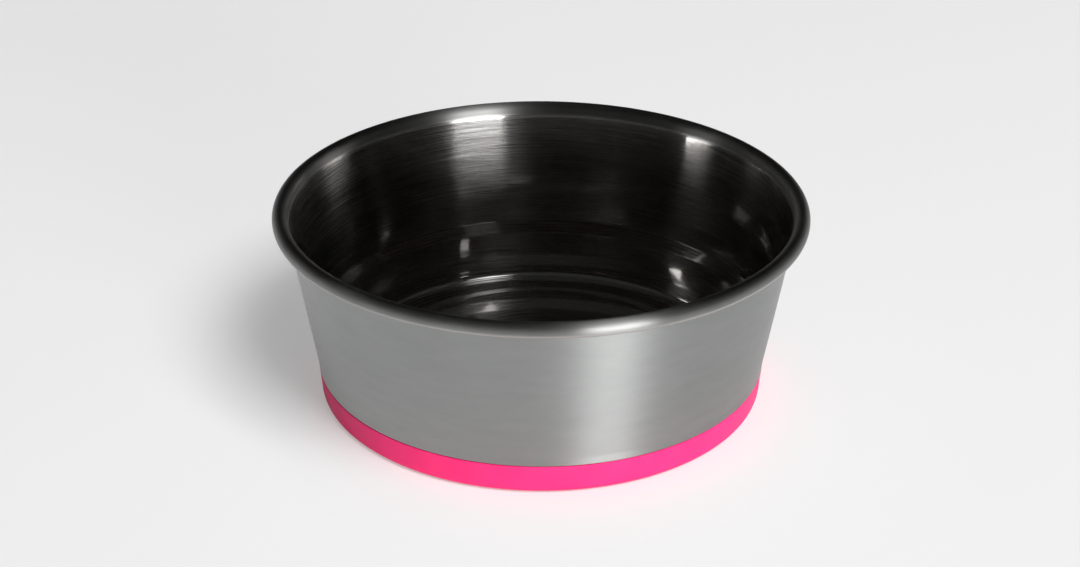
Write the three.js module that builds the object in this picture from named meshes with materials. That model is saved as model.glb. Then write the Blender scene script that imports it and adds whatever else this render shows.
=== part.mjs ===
// A steel dog bowl with a rubber base ring. Millimetres, +Z up, origin on the table at the middle of the foot.
// Every piece is turned about Z, so each one is an outline in the half plane (radius, height).
import * as THREE from "three";

// Driving dimensions of the whole bowl.
const RIM_RADIUS = 100;
const BOWL_HEIGHT = 75.4;
const WALL_LEAN = THREE.MathUtils.degToRad(9.6);
const BEAD_RADIUS = 2.95;
const BAND_HEIGHT = 11.4;

// Sheet thicknesses, and the clearances between the pieces.
const BOWL_SHEET = 0.6;
const SLEEVE_SHEET = 0.5;
const NESTING_GAP = 0.06;
const RUBBER_GAP = 0.3;
const FILM_GAP = 0.02;

// The rolled rim runs from the inside wall over the top, down the outside and back in underneath.
const CURL_START = Math.PI - WALL_LEAN;
const CURL_END = THREE.MathUtils.degToRad(-130);

// Inside of the bowl: the ledge ring low on the wall, the channel round the floor and the raised middle.
const LEDGE_TOP = 26.5;
const LEDGE_BOTTOM = 22;
const LEDGE_WIDTH = 2.6;
const LEDGE_FILLET = 2.4;
const LOWER_WALL_LEAN = THREE.MathUtils.degToRad(5);
const CHANNEL_HEIGHT = 2.9;
const CORNER_FILLET = 3.6;
const PLATEAU_RADIUS = 61;
const PLATEAU_HEIGHT = 6.2;
const RAMP_WIDTH = 9;
const RAMP_FILLET = 6;
const CROWN_RADIUS = 52;
const CROWN_RISE = 0.5;

// Outer sleeve: below the knee it stands a little steeper, down to its hem.
const KNEE_HEIGHT = 15;
const KNEE_FILLET = 12;
const HEEL_LEAN = THREE.MathUtils.degToRad(4.8);
const SLEEVE_TOP = BOWL_HEIGHT - 3.4;

// Rubber ring: band, foot, and the tongue that stands up between the two steel walls.
const HEEL_FILLET = 2.8;
const FOOT_INNER_RADIUS = 66;
const FOOT_INNER_FILLET = 0.8;
const TONGUE_TOP = 20;

// Ring of glue in the gap between the rubber foot and the steel floor.
const FILM_INNER_RADIUS = 71.5;
const FILM_OUTER_RADIUS = 77.5;

// How finely the shapes are faceted: round the axis, along the arcs of an outline, and over the crown.
const SECTORS = 72;
const FACET_ANGLE = THREE.MathUtils.degToRad(30);
const CROWN_STEPS = 3;

// A point of an arc about a centre.
function onArc(centre, radius, angle) {
  return new THREE.Vector2(
    centre.x + radius * Math.cos(angle),
    centre.y + radius * Math.sin(angle),
  );
}

// The points of an arc: its two ends, and each whole multiple of the facet angle that is well between them.
// An arc over the top or round the side of a bead so has a point at its highest or widest place.
function arc(centre, radius, from, to) {
  const turns = Math.ceil((2 * Math.PI) / FACET_ANGLE);
  const marks = Array.from({ length: 2 * turns + 1 }, (_, i) => (i - turns) * FACET_ANGLE);
  const between = marks.filter((mark) => (mark - from) * (to - mark) > (FACET_ANGLE / 4) ** 2);
  if (to < from) between.reverse();
  return [from, ...between, to].map((angle) => onArc(centre, radius, angle));
}

// A run of corners as a smooth path: each inner corner { x, y, fillet } becomes an arc that touches both sides.
// The path can be offset to its right, which turns one face of a sheet into the other.
function roundedPath(corners, offset = 0) {
  const at = corners.map((c) => new THREE.Vector2(c.x, c.y));
  const heading = at.slice(1).map((p, i) => p.clone().sub(at[i]).normalize());
  const right = heading.map((h) => new THREE.Vector2(h.y, -h.x));
  const path = [at[0].clone().addScaledVector(right[0], offset)];
  for (let i = 1; i < at.length - 1; i++) {
    const turn = Math.atan2(heading[i - 1].cross(heading[i]), heading[i - 1].dot(heading[i]));
    const side = Math.sign(turn);
    const run = corners[i].fillet * Math.tan(Math.abs(turn) / 2);
    const centre = at[i]
      .clone()
      .addScaledVector(heading[i - 1], -run)
      .addScaledVector(right[i - 1], -side * corners[i].fillet);
    const from = Math.atan2(side * right[i - 1].y, side * right[i - 1].x);
    path.push(...arc(centre, corners[i].fillet + side * offset, from, from + turn));
  }
  path.push(at.at(-1).clone().addScaledVector(right.at(-1), offset));
  return path;
}

// A turned solid. The outline runs anticlockwise, and either closes on itself or starts and ends on the axis.
function turned(outline) {
  const profile = outline[0].x === 0 ? outline : [...outline, outline[0]];
  // The lathe turns about Y, and the bowl stands on Z.
  return new THREE.LatheGeometry(profile, SECTORS).rotateX(Math.PI / 2);
}

// The rim bead's centre, and the point where the inside wall runs into the bead.
const beadCentre = new THREE.Vector2(RIM_RADIUS - BEAD_RADIUS, BOWL_HEIGHT - BEAD_RADIUS);
const wallTop = onArc(beadCentre, BEAD_RADIUS, CURL_START);

// Radius of the inside wall above the ledge, at a height.
function upperWall(height) {
  return wallTop.x - (wallTop.y - height) * Math.tan(WALL_LEAN);
}

// Radius of the inside wall below the ledge, at a height.
function lowerWall(height) {
  const ledgeEdge = upperWall(LEDGE_TOP) - LEDGE_WIDTH;
  return ledgeEdge - (LEDGE_BOTTOM - height) * Math.tan(LOWER_WALL_LEAN);
}

// Radius of the bowl's outside at a height: the sleeve nests on the wall, and below the knee it turns steeper.
function outside(height) {
  const sheets = (BOWL_SHEET + NESTING_GAP + SLEEVE_SHEET) / Math.cos(WALL_LEAN);
  return height >= KNEE_HEIGHT
    ? upperWall(height) + sheets
    : upperWall(KNEE_HEIGHT) + sheets - (KNEE_HEIGHT - height) * Math.tan(HEEL_LEAN);
}

// The inside face from the crown's edge, over the ramp, the channel and the ledge, up to the rim.
const insideCorners = [
  { x: CROWN_RADIUS, y: PLATEAU_HEIGHT },
  { x: PLATEAU_RADIUS, y: PLATEAU_HEIGHT, fillet: RAMP_FILLET },
  { x: PLATEAU_RADIUS + RAMP_WIDTH, y: CHANNEL_HEIGHT, fillet: RAMP_FILLET },
  { x: lowerWall(CHANNEL_HEIGHT), y: CHANNEL_HEIGHT, fillet: CORNER_FILLET },
  { x: lowerWall(LEDGE_BOTTOM), y: LEDGE_BOTTOM, fillet: LEDGE_FILLET },
  { x: upperWall(LEDGE_TOP), y: LEDGE_TOP, fillet: LEDGE_FILLET },
  { x: wallTop.x, y: wallTop.y },
];

// One face of the bowl's sheet, from the middle of the floor to the edge of the curl.
function bowlFace(offset) {
  const crown = Array.from({ length: CROWN_STEPS }, (_, i) => {
    const share = i / CROWN_STEPS;
    const rise = CROWN_RISE * (1 - share * share);
    return new THREE.Vector2(CROWN_RADIUS * share, PLATEAU_HEIGHT + rise - offset);
  });
  const wall = roundedPath(insideCorners, offset).slice(0, -1);
  const curl = arc(beadCentre, BEAD_RADIUS - offset, CURL_START, CURL_END);
  return [...crown, ...wall, ...curl];
}

// The bowl is one sheet: out along its hidden face, round the edge of the curl, and back along its inside face.
function innerBowl() {
  return [...bowlFace(BOWL_SHEET), ...bowlFace(0).reverse()];
}

// A cone of sheet with its top edge held inside the rolled rim, and its hem just above the rubber band.
function outerSleeve() {
  const heights = [BAND_HEIGHT + RUBBER_GAP, KNEE_HEIGHT, SLEEVE_TOP];
  const corners = heights.map((y) => ({ x: outside(y), y, fillet: KNEE_FILLET }));
  return [...roundedPath(corners), ...roundedPath(corners, -SLEEVE_SHEET).reverse()];
}

// The foot and the band's outer face, then the tongue behind the sleeve, then back down along the steel bowl.
function baseRing() {
  const footTop = CHANNEL_HEIGHT - BOWL_SHEET - RUBBER_GAP;
  const behindSleeve = (height) => outside(height) - SLEEVE_SHEET - RUBBER_GAP;
  const underBowl = (BOWL_SHEET + RUBBER_GAP) / Math.cos(LOWER_WALL_LEAN);
  const band = roundedPath([
    { x: FOOT_INNER_RADIUS, y: footTop },
    { x: FOOT_INNER_RADIUS, y: 0, fillet: FOOT_INNER_FILLET },
    { x: outside(0), y: 0, fillet: HEEL_FILLET },
    { x: outside(BAND_HEIGHT), y: BAND_HEIGHT },
  ]);
  const seat = roundedPath([
    { x: behindSleeve(BAND_HEIGHT), y: BAND_HEIGHT },
    { x: behindSleeve(KNEE_HEIGHT), y: KNEE_HEIGHT, fillet: KNEE_FILLET },
    { x: behindSleeve(TONGUE_TOP), y: TONGUE_TOP },
  ]);
  const bowlSide = roundedPath([
    { x: lowerWall(TONGUE_TOP) + underBowl, y: TONGUE_TOP },
    { x: lowerWall(footTop) + underBowl, y: footTop, fillet: CORNER_FILLET + BOWL_SHEET + RUBBER_GAP },
    { x: FOOT_INNER_RADIUS, y: footTop },
  ]);
  return [...band, ...seat, ...bowlSide.slice(0, -1)];
}

// Fills the gap between the rubber foot and the underside of the channel.
function adhesiveFilm() {
  const top = CHANNEL_HEIGHT - BOWL_SHEET - FILM_GAP;
  const bottom = CHANNEL_HEIGHT - BOWL_SHEET - RUBBER_GAP + FILM_GAP;
  return [
    new THREE.Vector2(FILM_INNER_RADIUS, bottom),
    new THREE.Vector2(FILM_OUTER_RADIUS, bottom),
    new THREE.Vector2(FILM_OUTER_RADIUS, top),
    new THREE.Vector2(FILM_INNER_RADIUS, top),
  ];
}

const polishedSteel = { color: 0xc9c7c4, roughness: 0.12, metalness: 1 };
const brushedSteel = { color: 0xa6a6a5, roughness: 0.38, metalness: 1 };
const pinkRubber = { color: 0xff4691, roughness: 0.6, metalness: 0 };
const curedAdhesive = { color: 0xd8d4c8, roughness: 0.5, metalness: 0 };

const bowl = new THREE.Group();

function addPiece(name, outline, finish) {
  const piece = new THREE.Mesh(turned(outline), new THREE.MeshStandardMaterial(finish));
  piece.name = name;
  bowl.add(piece);
}

addPiece("inner_bowl", innerBowl(), polishedSteel);
addPiece("outer_sleeve", outerSleeve(), brushedSteel);
addPiece("base_ring", baseRing(), pinkRubber);
addPiece("adhesive_film", adhesiveFilm(), curedAdhesive);

export default bowl;
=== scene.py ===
# %% [markdown]
# # A steel dog bowl on a pink rubber foot
#
# The bowl is a turned object: every piece is one outline carried once round an upright axis. The packed
# model gives the sizes and the places. This lesson adds fine surfaces with the same outlines, the finishes
# of polished steel, brushed steel and silicone rubber, and a small studio whose softboxes the steel can
# mirror.

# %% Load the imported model
import math

import bpy
import numpy as np
from mathutils import Matrix, Vector


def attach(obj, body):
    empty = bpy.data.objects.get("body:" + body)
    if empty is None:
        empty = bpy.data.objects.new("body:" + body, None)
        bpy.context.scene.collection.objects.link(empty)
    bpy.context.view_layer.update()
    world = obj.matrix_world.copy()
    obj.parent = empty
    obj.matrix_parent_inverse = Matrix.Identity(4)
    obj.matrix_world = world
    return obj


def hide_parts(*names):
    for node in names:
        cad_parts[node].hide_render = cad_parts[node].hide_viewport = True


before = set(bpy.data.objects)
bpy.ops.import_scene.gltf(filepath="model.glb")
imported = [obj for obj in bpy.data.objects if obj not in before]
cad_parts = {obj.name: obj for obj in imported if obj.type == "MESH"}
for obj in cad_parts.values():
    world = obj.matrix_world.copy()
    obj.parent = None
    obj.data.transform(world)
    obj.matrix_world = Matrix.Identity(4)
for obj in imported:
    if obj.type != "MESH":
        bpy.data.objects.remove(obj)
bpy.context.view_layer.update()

print("nodes", sorted(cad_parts))

# %% [markdown]
# ## The bowl's sizes
#
# All sizes are millimetres, measured as a radius from the axis and a height above the table. The rim and the
# wall come first, because the floor, the ledge and the sleeve all hang from the straight line of the inside
# wall: 9.6 degrees off the upright, from the ledge up to the rolled rim. A fillet is the radius of the arc
# that rounds a corner.

# %% Sizes
MM = 0.001

RIM_RADIUS = 100.0
BOWL_HEIGHT = 75.4
BEAD_RADIUS = 2.95
WALL_LEAN = math.radians(9.6)
LOWER_WALL_LEAN = math.radians(5.0)
HEEL_LEAN = math.radians(4.8)

BOWL_SHEET = 0.6
SLEEVE_SHEET = 0.5
NESTING_GAP = 0.06
RUBBER_GAP = 0.3

PLATEAU_RADIUS = 61.0
PLATEAU_HEIGHT = 6.2
PLATEAU_FILLET = 6.0
CROWN_RADIUS = 52.0
CROWN_RISE = 0.5
RAMP_WIDTH = 9.0
CHANNEL_HEIGHT = 2.9
CHANNEL_FILLET = 3.6
LEDGE_BOTTOM = 22.0
LEDGE_TOP = 26.5
LEDGE_WIDTH = 2.6
LEDGE_FILLET = 2.4

BAND_HEIGHT = 11.4
KNEE_HEIGHT = 15.0
KNEE_FILLET = 12.0
SLEEVE_BELOW_RIM = 3.4
SLEEVE_TOP = BOWL_HEIGHT - SLEEVE_BELOW_RIM

TONGUE_TOP = 20.0
TONGUE_FILLET = 0.2
FOOT_INNER_RADIUS = 66.0
FOOT_EDGE_FILLET = 0.8
FOOT_HEEL_FILLET = 4.5
FOOT_LIP = 1.0
BAND_FOOT_FILLET = 2.8
BAND_TOP_FILLET = 0.35

CURL_START = math.pi - WALL_LEAN
CURL_END = math.radians(-130)
bead_centre = np.array([RIM_RADIUS - BEAD_RADIUS, BOWL_HEIGHT - BEAD_RADIUS])
wall_top = bead_centre + BEAD_RADIUS * np.array([math.cos(CURL_START), math.sin(CURL_START)])


def upper_wall(height):
    """Radius of the inside wall above the ledge: the wall top's radius less the drop times the tangent of the
    lean."""
    return wall_top[0] - (wall_top[1] - height) * math.tan(WALL_LEAN)


def lower_wall(height):
    """Radius of the inside wall below the ledge, which steps in by the ledge's width and stands steeper."""
    return upper_wall(LEDGE_TOP) - LEDGE_WIDTH - (LEDGE_BOTTOM - height) * math.tan(LOWER_WALL_LEAN)


def outside(height):
    """Radius of the outside: the inside wall plus both sheets and the gap between them, steeper below the
    knee."""
    sheets = (BOWL_SHEET + NESTING_GAP + SLEEVE_SHEET) / math.cos(WALL_LEAN)
    above = upper_wall(max(height, KNEE_HEIGHT)) + sheets
    return above - max(KNEE_HEIGHT - height, 0) * math.tan(HEEL_LEAN)


print("inside wall at the rim and the ledge", round(wall_top[0], 2), round(upper_wall(LEDGE_TOP), 2))
print("outside at the knee and the table", round(outside(KNEE_HEIGHT), 2), round(outside(0), 2))

# %% [markdown]
# ## Outlines and turned surfaces
#
# A spun bowl has no sharp bend anywhere: the sheet is pressed over a former, so each corner is an arc. The
# outline is therefore a row of corners, each with its fillet, and one function turns it into a smooth line.
# A Bevel modifier on a coarse lathe would also round the corners, but polished steel shows every wobble of
# the surface. Here the line is worked out exactly, with its points drawn together where it begins to bend,
# so that the highlights run clean.
#
# Another function carries a line round the axis. It makes the whole grid of points at once, joins the last
# column to the first, and closes the surface with a single point where the line starts and ends on the
# axis.

# %% Outline and turning helpers
ON_AXIS = 1e-9
SHARPEST_SMOOTH_BEND = math.radians(40)


def rounded(corners, offset=0.0, arc_points=13, straight_points=13):
    """Corners (radius, height, fillet) as a smooth line. Each inner corner becomes the arc that touches both
    of its sides: centre + fillet * (cos a, sin a), with a running evenly between the normals of the two
    sides. A straight stretch from p to q is p + (q - p) * (1 - cos(pi t)) / 2, which crowds its points at
    both ends. The line can be moved by offset to the right of its run."""
    table = np.array(corners, float)
    at = table[:, :2]
    fillet = table[1:-1, 2]
    run = np.diff(at, axis=0)
    run /= np.linalg.norm(run, axis=1, keepdims=True)
    right = np.stack([run[:, 1], -run[:, 0]], axis=1)
    cross = run[:-1, 0] * run[1:, 1] - run[:-1, 1] * run[1:, 0]
    turn = np.arctan2(cross, (run[:-1] * run[1:]).sum(1))
    side = np.sign(turn)
    back = fillet * np.tan(np.abs(turn) / 2)
    centre = at[1:-1] - run[:-1] * back[:, None] - right[:-1] * (side * fillet)[:, None]
    start = np.arctan2(side * right[:-1, 1], side * right[:-1, 0])
    angle = start[:, None] + turn[:, None] * np.linspace(0, 1, arc_points)
    reach = (fillet + side * offset)[:, None, None]
    arcs = centre[:, None] + reach * np.stack([np.cos(angle), np.sin(angle)], axis=2)
    first = at[0] + right[0] * offset
    last = at[-1] + right[-1] * offset
    begin = np.vstack([first, arcs[:, -1]])
    end = np.vstack([arcs[:, 0], last])
    ease = (1 - np.cos(np.linspace(0, math.pi, straight_points))) / 2
    straight = begin[:, None] + (end - begin)[:, None] * ease[:, None]
    runs = [straight[0]]
    for arc, line in zip(arcs, straight[1:]):
        runs += [arc[1:], line[1:]]
    return np.vstack(runs)


def arc_line(centre, radius, start, stop, points):
    """An arc: centre + radius * (cos a, sin a), with a running evenly from start to stop."""
    a = np.linspace(start, stop, points)
    return centre + radius * np.stack([np.cos(a), np.sin(a)], axis=1)


def turned(name, line, sectors=192):
    """The line carried round the axis: point (i, j) is (r_i cos a_j, r_i sin a_j, h_i), with a_j = 2 pi j /
    sectors. Where the line starts and ends on the axis its first and last rows shrink to one point each.
    Otherwise the last row joins the first, and the piece is a ring."""
    poles = abs(line[0, 0]) < ON_AXIS
    rows = line[1:-1] if poles else line
    a = np.arange(sectors) * (2 * math.pi / sectors)
    grid = np.empty((len(rows), sectors, 3))
    grid[..., 0] = rows[:, :1] * np.cos(a)
    grid[..., 1] = rows[:, :1] * np.sin(a)
    grid[..., 2] = rows[:, 1:]
    index = np.arange(len(rows) * sectors).reshape(len(rows), sectors)
    ahead = np.roll(index, -1, axis=1)
    if poles:
        lower, upper = index[:-1], index[1:]
        lower_ahead, upper_ahead = ahead[:-1], ahead[1:]
    else:
        lower, upper = index, np.roll(index, -1, axis=0)
        lower_ahead, upper_ahead = ahead, np.roll(ahead, -1, axis=0)
    faces = np.stack([lower, lower_ahead, upper_ahead, upper], axis=2).reshape(-1, 4).tolist()
    points = grid.reshape(-1, 3)
    if poles:
        first = np.full(sectors, len(points))
        last = first + 1
        points = np.vstack([points, [0, 0, line[0, 1]], [0, 0, line[-1, 1]]])
        faces += np.stack([first, ahead[0], index[0]], axis=1).tolist()
        faces += np.stack([last, index[-1], ahead[-1]], axis=1).tolist()
    mesh = bpy.data.meshes.new(name)
    mesh.from_pydata((points * MM).tolist(), [], faces)
    mesh.polygons.foreach_set("use_smooth", np.ones(len(faces), bool))
    mesh.set_sharp_from_angle(angle=SHARPEST_SMOOTH_BEND)
    mesh.validate()
    piece = bpy.data.objects.new(name, mesh)
    bpy.context.scene.collection.objects.link(piece)
    print(name, len(line), "points in the line,", len(mesh.polygons), "faces,", volume_cm3(mesh), "cm3")
    return piece


def volume_cm3(mesh):
    """Volume inside a closed mesh, positive when its faces point outwards: the sum over triangles of
    a.(b x c) / 6."""
    mesh.calc_loop_triangles()
    corners = np.empty(len(mesh.loop_triangles) * 3, np.int32)
    mesh.loop_triangles.foreach_get("vertices", corners)
    co = np.empty(len(mesh.vertices) * 3)
    mesh.vertices.foreach_get("co", co)
    a, b, c = co.reshape(-1, 3)[corners.reshape(-1, 3)].transpose(1, 0, 2)
    cubic_metres = float((a * np.cross(b, c)).sum() / 6)
    return round(cubic_metres * 1e6, 2)


def stands_for(piece, node):
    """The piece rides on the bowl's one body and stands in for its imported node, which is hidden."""
    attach(piece, "root")
    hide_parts(node)
    return piece


# %% [markdown]
# ## The inner bowl
#
# On the real object this is one disc of stainless steel, 0.6 mm thick, deep drawn and spun: a raised middle,
# a shallow channel round it, a steep lower wall, a ledge, the long upper wall, and a rim rolled outwards
# into a bead. A solid turned part would hide the back of the sheet, yet the bead's lower edge and the
# underside show it, so the line runs out along one face of the sheet, round the edge of the curl, and back
# along the other face. The inside face is the one that mirrors, so it gets more points.

# %% Inner bowl
inside_corners = [
    (CROWN_RADIUS, PLATEAU_HEIGHT, 0),
    (PLATEAU_RADIUS, PLATEAU_HEIGHT, PLATEAU_FILLET),
    (PLATEAU_RADIUS + RAMP_WIDTH, CHANNEL_HEIGHT, PLATEAU_FILLET),
    (lower_wall(CHANNEL_HEIGHT), CHANNEL_HEIGHT, CHANNEL_FILLET),
    (lower_wall(LEDGE_BOTTOM), LEDGE_BOTTOM, LEDGE_FILLET),
    (upper_wall(LEDGE_TOP), LEDGE_TOP, LEDGE_FILLET),
    (wall_top[0], wall_top[1], 0),
]


def bowl_face(offset, detail):
    """One face of the bowl's sheet, from the middle to the edge of the curl. The middle is a shallow crown
    whose rise falls with the square of the radius, rise * (1 - (r / R)^2), and the curl is an arc about the
    bead's centre."""
    points = 5 + detail
    share = np.linspace(0, 1, points)
    rise = CROWN_RISE * (1 - share**2)
    crown = np.stack([CROWN_RADIUS * share, PLATEAU_HEIGHT + rise - offset], axis=1)
    wall = rounded(inside_corners, offset, arc_points=points, straight_points=points)
    curl = arc_line(bead_centre, BEAD_RADIUS - offset, CURL_START, CURL_END, 20 + 5 * detail)
    return np.vstack([crown[:-1], wall[:-1], curl])


back_face = bowl_face(BOWL_SHEET, detail=2)
mirror_face = bowl_face(0, detail=10)
bowl_line = np.vstack([back_face, mirror_face[::-1]])
inner_bowl = stands_for(turned("polished_bowl", bowl_line), "inner_bowl")

# %% [markdown]
# ## The outer sleeve
#
# The outside wall is a second, thinner sheet: a cone that nests on the bowl, held at the top by the rolled
# rim and ending just above the rubber. Its hem is cut and brushed round, so the line closes with a half
# circle there. One ring-shaped line does the whole piece.

# %% Outer sleeve
HEM = BAND_HEIGHT + RUBBER_GAP
half = SLEEVE_SHEET / 2


def sleeve_face(offset):
    """One face of the sleeve from the hem's round edge up to the top, with a soft knee between its two
    leans."""
    corners = [(outside(y), y, KNEE_FILLET) for y in (HEM + half, KNEE_HEIGHT, SLEEVE_TOP)]
    return rounded(corners, offset, arc_points=9, straight_points=25)


outer_face = sleeve_face(0)
inner_face = sleeve_face(-SLEEVE_SHEET)
hem_centre = (outer_face[0] + inner_face[0]) / 2
hem_edge = arc_line(hem_centre, half, math.pi + HEEL_LEAN, 2 * math.pi, points=9)
sleeve_line = np.vstack([hem_edge[1:-1], outer_face, inner_face[::-1]])
outer_sleeve = stands_for(turned("brushed_sleeve", sleeve_line), "outer_sleeve")

# %% [markdown]
# ## The rubber base ring
#
# A moulded ring of pink silicone rubber: the band that shows, flush with the steel, the foot that it stands
# on, and a thin tongue that reaches up between the two steel walls and holds the ring. Moulded rubber has no
# sharp edge, so the top of the band gets a small radius, which also makes the fine dark line under the
# steel's hem.

# %% Base ring
foot_top = CHANNEL_HEIGHT - BOWL_SHEET - RUBBER_GAP
under_bowl = (BOWL_SHEET + RUBBER_GAP) / math.cos(LOWER_WALL_LEAN)


def behind_sleeve(height):
    """Radius just behind the sleeve at a height."""
    return outside(height) - SLEEVE_SHEET - RUBBER_GAP


band_line = rounded([
    (FOOT_INNER_RADIUS, foot_top, 0),
    (FOOT_INNER_RADIUS, 0, FOOT_EDGE_FILLET),
    (outside(0), 0, BAND_FOOT_FILLET),
    (outside(BAND_HEIGHT), BAND_HEIGHT, BAND_TOP_FILLET),
    (behind_sleeve(BAND_HEIGHT), BAND_HEIGHT, TONGUE_FILLET),
    (behind_sleeve(KNEE_HEIGHT), KNEE_HEIGHT, KNEE_FILLET),
    (behind_sleeve(TONGUE_TOP), TONGUE_TOP, TONGUE_FILLET),
    (lower_wall(TONGUE_TOP) + under_bowl, TONGUE_TOP, TONGUE_FILLET),
    (lower_wall(foot_top) + under_bowl, foot_top, FOOT_HEEL_FILLET),
    (FOOT_INNER_RADIUS + FOOT_LIP, foot_top, 0),
], arc_points=11, straight_points=11)
base_ring = stands_for(turned("rubber_foot", band_line), "base_ring")

# %% [markdown]
# ## Fine marks that several finishes share
#
# Both steels are finished on a lathe, so their scratches run round the bowl: long one way, a fraction of a
# millimetre the other. One node group makes such marks from object coordinates, squeezed along the axis and
# along the radius, and each steel sets its own fineness. A second group makes broad, soft blotches, for the
# traces that hands and cloths leave on steel and for the slightly uneven skin of moulded rubber.

# %% Node groups
RADIUS_SHARE = 0.7
STREAK_SHARE = 0.13
BLOTCH_LEVEL = 0.35
BLOTCH_STEEPNESS = 3.3


def new_group(name, inputs, outputs):
    """A shader node group with named float or vector inputs, and named float outputs."""
    group = bpy.data.node_groups.new(name, "ShaderNodeTree")
    for label, kind, value in inputs:
        made = group.interface.new_socket(label, in_out="INPUT", socket_type=kind)
        if value is not None:
            made.default_value = value
    for label in outputs:
        group.interface.new_socket(label, in_out="OUTPUT", socket_type="NodeSocketFloat")
    return group, group.nodes.new("NodeGroupInput"), group.nodes.new("NodeGroupOutput")


def feed(tree, value, socket):
    """Gives an input its value: a socket is linked to it, and a number or an opaque colour is set on it."""
    if isinstance(value, bpy.types.NodeSocket):
        tree.links.new(value, socket)
    elif isinstance(value, tuple):
        socket.default_value = (*value, 1)
    else:
        socket.default_value = value


def math_node(tree, operation, a, b=None, clamp=False):
    """A Math node whose inputs are sockets or numbers."""
    node = tree.nodes.new("ShaderNodeMath")
    node.operation = operation
    node.use_clamp = clamp
    feed(tree, a, node.inputs[0])
    if b is not None:
        feed(tree, b, node.inputs[1])
    return node.outputs[0]


def above(tree, value, level, steepness):
    """A mask from 0 to 1: how far a value is above a level, times the steepness."""
    over = math_node(tree, "SUBTRACT", value, level)
    return math_node(tree, "MULTIPLY", over, steepness, clamp=True)


def noise(tree, vector, scale, detail=2.0, roughness=0.5):
    """A Noise Texture read at a vector, with a number or a socket as its scale."""
    node = tree.nodes.new("ShaderNodeTexNoise")
    feed(tree, vector, node.inputs["Vector"])
    feed(tree, scale, node.inputs["Scale"])
    feed(tree, detail, node.inputs["Detail"])
    feed(tree, roughness, node.inputs["Roughness"])
    return node.outputs[0]


def combine(tree, x, y, z):
    """Three sockets or numbers as one vector."""
    node = tree.nodes.new("ShaderNodeCombineXYZ")
    for value, socket in zip((x, y, z), node.inputs):
        feed(tree, value, socket)
    return node.outputs[0]


def split_place(tree, place):
    """The x, y and z of a place, as three sockets."""
    node = tree.nodes.new("ShaderNodeSeparateXYZ")
    tree.links.new(place, node.inputs[0])
    return node.outputs


def turned_marks():
    """Marks that run round the axis. A point's place along its outline is taken as its height plus a share
    of its radius, so the noise is read at (wander * x, wander * y, lines * (height + share * radius)). The
    streaks are read in the same way, with far fewer lines."""
    group, source, sink = new_group(
        "turned marks",
        [
            ("Position", "NodeSocketVector", None),
            ("Lines per metre", "NodeSocketFloat", 1500.0),
            ("Wander", "NodeSocketFloat", 6.0),
        ],
        ["Height", "Streaks"])
    lines = source.outputs["Lines per metre"]
    wander = source.outputs["Wander"]
    x, y, z = split_place(group, source.outputs["Position"])
    x_squared = math_node(group, "MULTIPLY", x, x)
    y_squared = math_node(group, "MULTIPLY", y, y)
    radius = math_node(group, "SQRT", math_node(group, "ADD", x_squared, y_squared))
    along = math_node(group, "ADD", math_node(group, "MULTIPLY", radius, RADIUS_SHARE), z)
    wide = [math_node(group, "MULTIPLY", v, wander) for v in (x, y)]
    streak_lines = math_node(group, "MULTIPLY", lines, STREAK_SHARE)
    fine = combine(group, *wide, math_node(group, "MULTIPLY", along, lines))
    broad = combine(group, *wide, math_node(group, "MULTIPLY", along, streak_lines))
    feed(group, noise(group, fine, 1.0, detail=3.0, roughness=0.6), sink.inputs["Height"])
    feed(group, noise(group, broad, 1.0, detail=4.0, roughness=0.7), sink.inputs["Streaks"])
    return group


def soft_blotches():
    """Broad patches with soft edges, from 0 to 1: noise stretched so that its middle range fills the whole
    scale."""
    group, source, sink = new_group(
        "soft blotches",
        [
            ("Position", "NodeSocketVector", None),
            ("Patches per metre", "NodeSocketFloat", 30.0),
        ],
        ["Mask"])
    place = source.outputs["Position"]
    raw = noise(group, place, source.outputs["Patches per metre"], detail=3.0, roughness=0.55)
    feed(group, above(group, raw, BLOTCH_LEVEL, BLOTCH_STEEPNESS), sink.inputs["Mask"])
    return group


MARKS = turned_marks()
BLOTCHES = soft_blotches()
print("node groups", [g.name for g in bpy.data.node_groups])

# %% [markdown]
# ## Steel
#
# Steel's colour is all in its reflection, so it is fully metallic with a grey that is nearly neutral. What
# tells brushed from polished is the spread of the highlight. Scratches that run round the bowl spread light
# across themselves, up and down the wall, and hardly at all along themselves. That is an anisotropic
# highlight: the tangent runs round the axis, and a quarter turn of it points the long way of the highlight
# up the wall. A plain rough metal would blur both ways and lose the upright streaks that make steel look
# spun.

# %% Helpers for materials
QUARTER_TURN = 0.25


def new_material(name, colour, roughness, metallic):
    """A material with one Principled BSDF and plain values, which a finish may then replace with sockets."""
    material = bpy.data.materials.new(name)
    material.use_nodes = True
    tree = material.node_tree
    shader = tree.nodes["Principled BSDF"]
    feed(tree, colour, shader.inputs["Base Color"])
    feed(tree, roughness, shader.inputs["Roughness"])
    feed(tree, metallic, shader.inputs["Metallic"])
    place = tree.nodes.new("ShaderNodeTexCoord").outputs["Object"]
    return material, tree, shader, place


def group_node(tree, group, place, **values):
    """One use of a node group at a place, with its numbers set."""
    node = tree.nodes.new("ShaderNodeGroup")
    node.node_tree = group
    tree.links.new(place, node.inputs["Position"])
    for label, value in values.items():
        feed(tree, value, node.inputs[label.replace("_", " ")])
    return node.outputs


def blend_colours(tree, mask, low, high):
    """A colour that goes from low to high as the mask goes from 0 to 1. Both may be colours or sockets."""
    node = tree.nodes.new("ShaderNodeMix")
    node.data_type = "RGBA"
    feed(tree, mask, node.inputs["Factor"])
    feed(tree, low, node.inputs["A"])
    feed(tree, high, node.inputs["B"])
    return node.outputs["Result"]


def between(tree, mask, low, high):
    """A number that goes from low to high as the mask goes from 0 to 1."""
    return math_node(tree, "ADD", math_node(tree, "MULTIPLY", mask, high - low), low)


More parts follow.
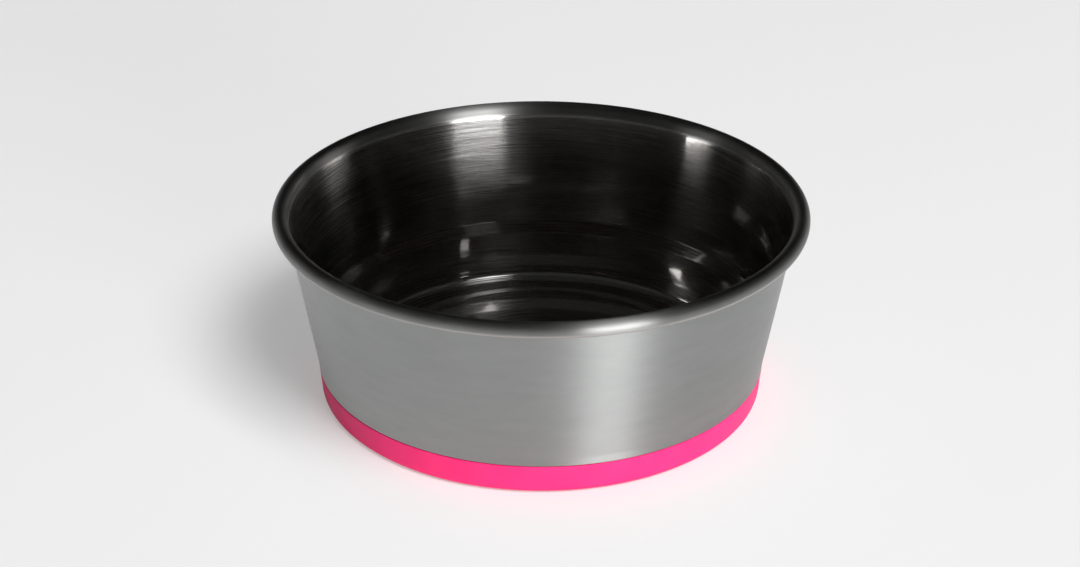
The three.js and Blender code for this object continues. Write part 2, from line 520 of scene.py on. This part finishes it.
def relief(tree, shader, height, distance_mm, strength=1.0):
    """Small relief from a height, in millimetres, through a Bump node."""
    bump = tree.nodes.new("ShaderNodeBump")
    feed(tree, distance_mm * MM, bump.inputs["Distance"])
    feed(tree, strength, bump.inputs["Strength"])
    feed(tree, height, bump.inputs["Height"])
    feed(tree, bump.outputs["Normal"], shader.inputs["Normal"])


def spread_up_the_wall(tree, shader, anisotropic):
    """Stretches the highlight across the turned marks."""
    tangent = tree.nodes.new("ShaderNodeTangent")
    tangent.direction_type = "RADIAL"
    tangent.axis = "Z"
    feed(tree, tangent.outputs["Tangent"], shader.inputs["Tangent"])
    feed(tree, anisotropic, shader.inputs["Anisotropic"])
    feed(tree, QUARTER_TURN, shader.inputs["Anisotropic Rotation"])


def dress(node_or_piece, material):
    """Puts one material on an object."""
    node_or_piece.data.materials.clear()
    node_or_piece.data.materials.append(material)


# %% [markdown]
# ### Polished steel
#
# The inside is a sharp mirror, but the polishing mop leaves very fine rough lines round it. Both show at
# once: the mirror gives a sharp image of a lamp, and the lines smear the same lamp up and down the wall. One
# roughness halfway between the two would give neither. The lines are cut out of noise that is far finer than
# a pixel, so each pixel takes the average of many of them. The rolled rim is a duller satin, and its grey is
# made darker there as painted shade. Both fade in with height just above the bottom of the bead.

# %% Polished steel
MIRROR_ROUGHNESS = 0.035
LINE_ROUGHNESS = 0.5
WORN_ROUGHNESS = 0.02
RIM_ROUGHNESS = 0.42
LINE_LEVEL = 0.515
LINE_STEEPNESS = 8.0
RIM_FADE = 2.5 * MM
BEAD_BOTTOM = (BOWL_HEIGHT - 2 * BEAD_RADIUS) * MM

steel, tree, shader, place = new_material("polished steel", (0.5, 0.485, 0.47), 0.09, 1.0)
marks = group_node(tree, MARKS, place, Lines_per_metre=40000.0, Wander=30.0)
blotches = group_node(tree, BLOTCHES, place, Patches_per_metre=45.0)
on_rim = above(tree, split_place(tree, place)["Z"], BEAD_BOTTOM, 1 / RIM_FADE)

mirror_grey = blend_colours(tree, marks["Streaks"], (0.6, 0.585, 0.57), (0.67, 0.66, 0.65))
# The rim's darker grey is painted shade: a darker copy of the steel's grey that fades in on the rolled bead,
# varied by the blotches.
rim_painted_shade_grey = blend_colours(tree, blotches["Mask"], (0.28, 0.28, 0.275), (0.33, 0.33, 0.325))
feed(tree, blend_colours(tree, on_rim, mirror_grey, rim_painted_shade_grey), shader.inputs["Base Color"])

fine_lines = above(tree, marks["Height"], LINE_LEVEL, LINE_STEEPNESS)
lined = between(tree, fine_lines, MIRROR_ROUGHNESS, LINE_ROUGHNESS)
worn = math_node(tree, "MULTIPLY", marks["Streaks"], blotches["Mask"])
inside = math_node(tree, "ADD", lined, math_node(tree, "MULTIPLY", worn, WORN_ROUGHNESS))
duller = math_node(tree, "MULTIPLY", math_node(tree, "SUBTRACT", RIM_ROUGHNESS, inside), on_rim)
feed(tree, math_node(tree, "ADD", inside, duller), shader.inputs["Roughness"])
relief(tree, shader, marks["Height"], distance_mm=0.00002)
spread_up_the_wall(tree, shader, anisotropic=0.95)
dress(inner_bowl, steel)

# %% [markdown]
# ### Brushed steel
#
# The sleeve is rough all over, with coarser marks that can be seen one by one close up. Its grey changes from
# streak to streak, and its roughness changes a little with each mark and each blotch.

# %% Brushed steel
steel, tree, shader, place = new_material("brushed steel", (0.42, 0.425, 0.42), 0.38, 1.0)
marks = group_node(tree, MARKS, place, Lines_per_metre=1500.0, Wander=55.0)
blotches = group_node(tree, BLOTCHES, place, Patches_per_metre=18.0)
streaked = blend_colours(tree, marks["Streaks"], (0.315, 0.325, 0.32), (0.385, 0.393, 0.388))
feed(tree, streaked, shader.inputs["Base Color"])
brushed = between(tree, marks["Height"], 0.35, 0.43)
handled = between(tree, blotches["Mask"], 0.0, 0.03)
feed(tree, math_node(tree, "ADD", brushed, handled), shader.inputs["Roughness"])
relief(tree, shader, marks["Height"], distance_mm=0.003)
spread_up_the_wall(tree, shader, anisotropic=0.85)
dress(outer_sleeve, steel)

# %% [markdown]
# ## Rubber and glue
#
# Silicone rubber is dull but not chalky: a strong pink, a weak and very broad highlight, and a fine grain
# from the mould. The colour shifts slightly in broad patches and with the grain. The glue between the foot
# and the steel floor is an off-white film with an uneven colour, and hardly shows.

# %% Pink rubber
GRAINS_PER_METRE = 2600.0

rubber, tree, shader, place = new_material("pink silicone rubber", (0.96, 0.02, 0.2), 0.55, 0.0)
blotches = group_node(tree, BLOTCHES, place, Patches_per_metre=60.0)
grain = noise(tree, place, GRAINS_PER_METRE)
skin = math_node(tree, "MULTIPLY", math_node(tree, "ADD", blotches["Mask"], grain), 0.5)
pink = blend_colours(tree, skin, (0.85, 0.018, 0.16), (0.95, 0.035, 0.2))
feed(tree, pink, shader.inputs["Base Color"])
feed(tree, between(tree, blotches["Mask"], 0.5, 0.6), shader.inputs["Roughness"])
feed(tree, 0.25, shader.inputs["Specular IOR Level"])
relief(tree, shader, grain, distance_mm=0.02, strength=0.5)
dress(base_ring, rubber)

# %% Cured adhesive
glue, tree, shader, place = new_material("cured adhesive", (0.66, 0.62, 0.55), 0.5, 0.0)
blotches = group_node(tree, BLOTCHES, place, Patches_per_metre=120.0)
off_white = blend_colours(tree, blotches["Mask"], (0.6, 0.56, 0.48), (0.7, 0.67, 0.6))
feed(tree, off_white, shader.inputs["Base Color"])
feed(tree, between(tree, blotches["Mask"], 0.4, 0.6), shader.inputs["Roughness"])
dress(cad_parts["adhesive_film"], glue)

# %% [markdown]
# ## The table
#
# A pale matt table, wide enough to run out of every view. The lamps light it, so it keeps the bowl's soft
# shadow, and the steel mirrors it. Where it is seen, by the camera or as a mirror image, a share of even
# white is mixed in, which keeps the shadow pale. That share lights nothing else.

# %% Table
TABLE_HALF_WIDTH = 8.0
TABLE_DROP = 0.05 * MM
WHITE_SHARE = 0.35

table_mesh = bpy.data.meshes.new("table")
signs = [(-1, -1), (1, -1), (1, 1), (-1, 1)]
table_corners = [(x * TABLE_HALF_WIDTH, y * TABLE_HALF_WIDTH, 0) for x, y in signs]
table_mesh.from_pydata(table_corners, [], [(0, 1, 2, 3)])
table = bpy.data.objects.new("table", table_mesh)
bpy.context.scene.collection.objects.link(table)
table.location.z = -TABLE_DROP

cloth, tree, shader, place = new_material("pale table", (0.85, 0.85, 0.85), 0.9, 0.0)
feed(tree, 0.0, shader.inputs["Specular IOR Level"])
seen = tree.nodes.new("ShaderNodeLightPath").outputs
mirrored = math_node(tree, "MAXIMUM", seen["Is Glossy Ray"], seen["Is Transmission Ray"])
in_view = math_node(tree, "MAXIMUM", seen["Is Camera Ray"], mirrored)
white = tree.nodes.new("ShaderNodeEmission")
feed(tree, 1.0, white.inputs["Strength"])
mix = tree.nodes.new("ShaderNodeMixShader")
feed(tree, math_node(tree, "MULTIPLY", in_view, WHITE_SHARE), mix.inputs[0])
feed(tree, shader.outputs["BSDF"], mix.inputs[1])
feed(tree, white.outputs["Emission"], mix.inputs[2])
feed(tree, mix.outputs["Shader"], tree.nodes["Material Output"].inputs["Surface"])
dress(table, cloth)

# %% [markdown]
# ## Softboxes
#
# Polished steel shows its surroundings, so the lamps are shapes to be mirrored and not only sources of
# light. Each softbox is given by the directions that it fills, seen from the bowl: azimuth 0 is straight
# behind the bowl and goes clockwise seen from above, and elevation is measured from the table. An area lamp
# of energy P and area A has the brightness P / (4 A), so the energy follows from the brightness that the
# steel is to mirror.
#
# One low key lamp, to the right of the camera, makes nearly every light that the steel shows. Two dimmer
# ones soften its upper edge, a very faint one lies above them, and two small high ones give single lights.
# The fill and the overhead lamp aren't mirrored: they are there for the table and the rubber.

# %% Lamps
MIDDLE = Vector((0, 0, BOWL_HEIGHT / 2 * MM))
OVERHEAD_SIZE = 3.0
OVERHEAD_HEIGHT = 3.0


def direction(azimuth, elevation):
    """Unit vector: (sin az cos el, cos az cos el, sin el)."""
    az, el = math.radians(azimuth), math.radians(elevation)
    return Vector((math.sin(az) * math.cos(el), math.cos(az) * math.cos(el), math.sin(el)))


def span(angles, distance):
    """Length that fills a range of angles at a distance: 2 * distance * tan(range / 2)."""
    return 2 * distance * math.tan(math.radians((angles[1] - angles[0]) / 2))


def hang_lamp(name, width, height, brightness, place, mirrored):
    """A flat lamp with energy 4 * width * height * brightness. The camera doesn't see it, and the steel
    mirrors it only where mirrored is true."""
    lamp = bpy.data.lights.new(name, "AREA")
    lamp.shape = "RECTANGLE"
    lamp.size = width
    lamp.size_y = height
    lamp.energy = 4 * width * height * brightness
    holder = bpy.data.objects.new(name, lamp)
    holder.matrix_world = place
    holder.visible_camera = False
    holder.visible_glossy = mirrored
    bpy.context.scene.collection.objects.link(holder)
    print(name, round(width, 2), "by", round(height, 2), "m,", round(lamp.energy, 2), "W")


def softbox(name, azimuths, elevations, brightness, distance=3.0, mirrored=True):
    """A lamp that faces the bowl and fills a range of azimuths and elevations. Its width narrows with the
    cosine of the elevation. Its axes are a level side, towards x side, which points up, and towards, which
    runs from the bowl to the lamp."""
    az, el = sum(azimuths) / 2, sum(elevations) / 2
    width = span(azimuths, distance) * math.cos(math.radians(el))
    height = span(elevations, distance)
    towards = direction(az, el)
    side = direction(az - 90, 0)
    facing = Matrix((side, towards.cross(side), towards)).transposed().to_4x4()
    place = Matrix.Translation(MIDDLE + towards * distance) @ facing
    hang_lamp(name, width, height, brightness, place, mirrored)


softbox("key", azimuths=(138, 162), elevations=(0, 10), brightness=21.0)
softbox("key_middle", azimuths=(138, 162), elevations=(10, 13), brightness=8.0)
softbox("key_edge", azimuths=(138, 156), elevations=(13, 18), brightness=0.6)
softbox("key_haze", azimuths=(137, 155), elevations=(29, 37), brightness=0.02)
softbox("high_right", azimuths=(85, 130), elevations=(70, 80), brightness=1.5)
softbox("high_left", azimuths=(-86, -77), elevations=(37, 41), brightness=2.0)
softbox("key_fill", azimuths=(125, 165), elevations=(40, 65), brightness=12.5, distance=6.0, mirrored=False)
hang_lamp("overhead", OVERHEAD_SIZE, OVERHEAD_SIZE, brightness=0.15,
          place=Matrix.Translation((0, 0, OVERHEAD_HEIGHT)), mirrored=False)

# %% [markdown]
# ## The studio's walls
#
# What no lamp covers is nearly black, so the dark parts of the steel stay dark. Only a low wall all round is
# pale, up to 6 degrees above the table, and a faint ceiling begins to show from 50 degrees up. The ramp is
# read at the sine of the elevation, and everything below its first stop has that stop's colour.

# %% Studio walls
PALE_WALL = (0.55, 0.55, 0.55, 1)
DARK_ROOM = (0.006, 0.005, 0.004, 1)
FAINT_CEILING = (0.03, 0.03, 0.03, 1)
PALE_UP_TO = 0.1
DARK_FROM = 0.15
DARK_UP_TO = 0.77
CEILING_FROM = 0.84

world = bpy.data.worlds.new("studio")
bpy.context.scene.world = world
world.use_nodes = True
tree = world.node_tree
sky_place = tree.nodes.new("ShaderNodeTexCoord").outputs["Generated"]
ramp = tree.nodes.new("ShaderNodeValToRGB")
feed(tree, split_place(tree, sky_place)["Z"], ramp.inputs["Fac"])
low_stop, high_stop = ramp.color_ramp.elements
low_stop.position, low_stop.color = PALE_UP_TO, PALE_WALL
high_stop.position, high_stop.color = CEILING_FROM, FAINT_CEILING
for sine in (DARK_FROM, DARK_UP_TO):
    ramp.color_ramp.elements.new(sine).color = DARK_ROOM
background = tree.nodes["Background"]
feed(tree, ramp.outputs["Color"], background.inputs["Color"])
feed(tree, 1.0, background.inputs["Strength"])

# %% [markdown]
# ## The camera
#
# The photograph looks down at 27 degrees from about four bowl widths away, so the rim is an ellipse with
# only a little perspective. The lens is given for a sensor 36 mm wide. A small shift moves the bowl to its
# place in the frame, and a very small roll levels it as in the photograph.

# %% Camera
ELEVATION = math.radians(27.21)
DISTANCE = 0.8
ROLL = math.radians(0.193)
FOCAL_PIXELS = 2099.0
IMAGE_WIDTH = 1080.0
IMAGE_HEIGHT = 567.0
CENTRE_X = 540.92
CENTRE_Y = 289.8

camera_data = bpy.data.cameras.new("camera")
camera_data.sensor_width = 36.0
camera_data.lens = FOCAL_PIXELS / IMAGE_WIDTH * camera_data.sensor_width
camera_data.shift_x = -(CENTRE_X - IMAGE_WIDTH / 2) / IMAGE_WIDTH
camera_data.shift_y = (CENTRE_Y - IMAGE_HEIGHT / 2) / IMAGE_WIDTH
camera = bpy.data.objects.new("camera", camera_data)
bpy.context.scene.collection.objects.link(camera)
camera.location = MIDDLE + Vector((0, -math.cos(ELEVATION), math.sin(ELEVATION))) * DISTANCE
looking = Matrix.Rotation(math.pi / 2 - ELEVATION, 3, "X") @ Matrix.Rotation(ROLL, 3, "Z")
camera.rotation_euler = looking.to_euler()
bpy.context.scene.camera = camera
bpy.context.scene.view_settings.view_transform = "Standard"
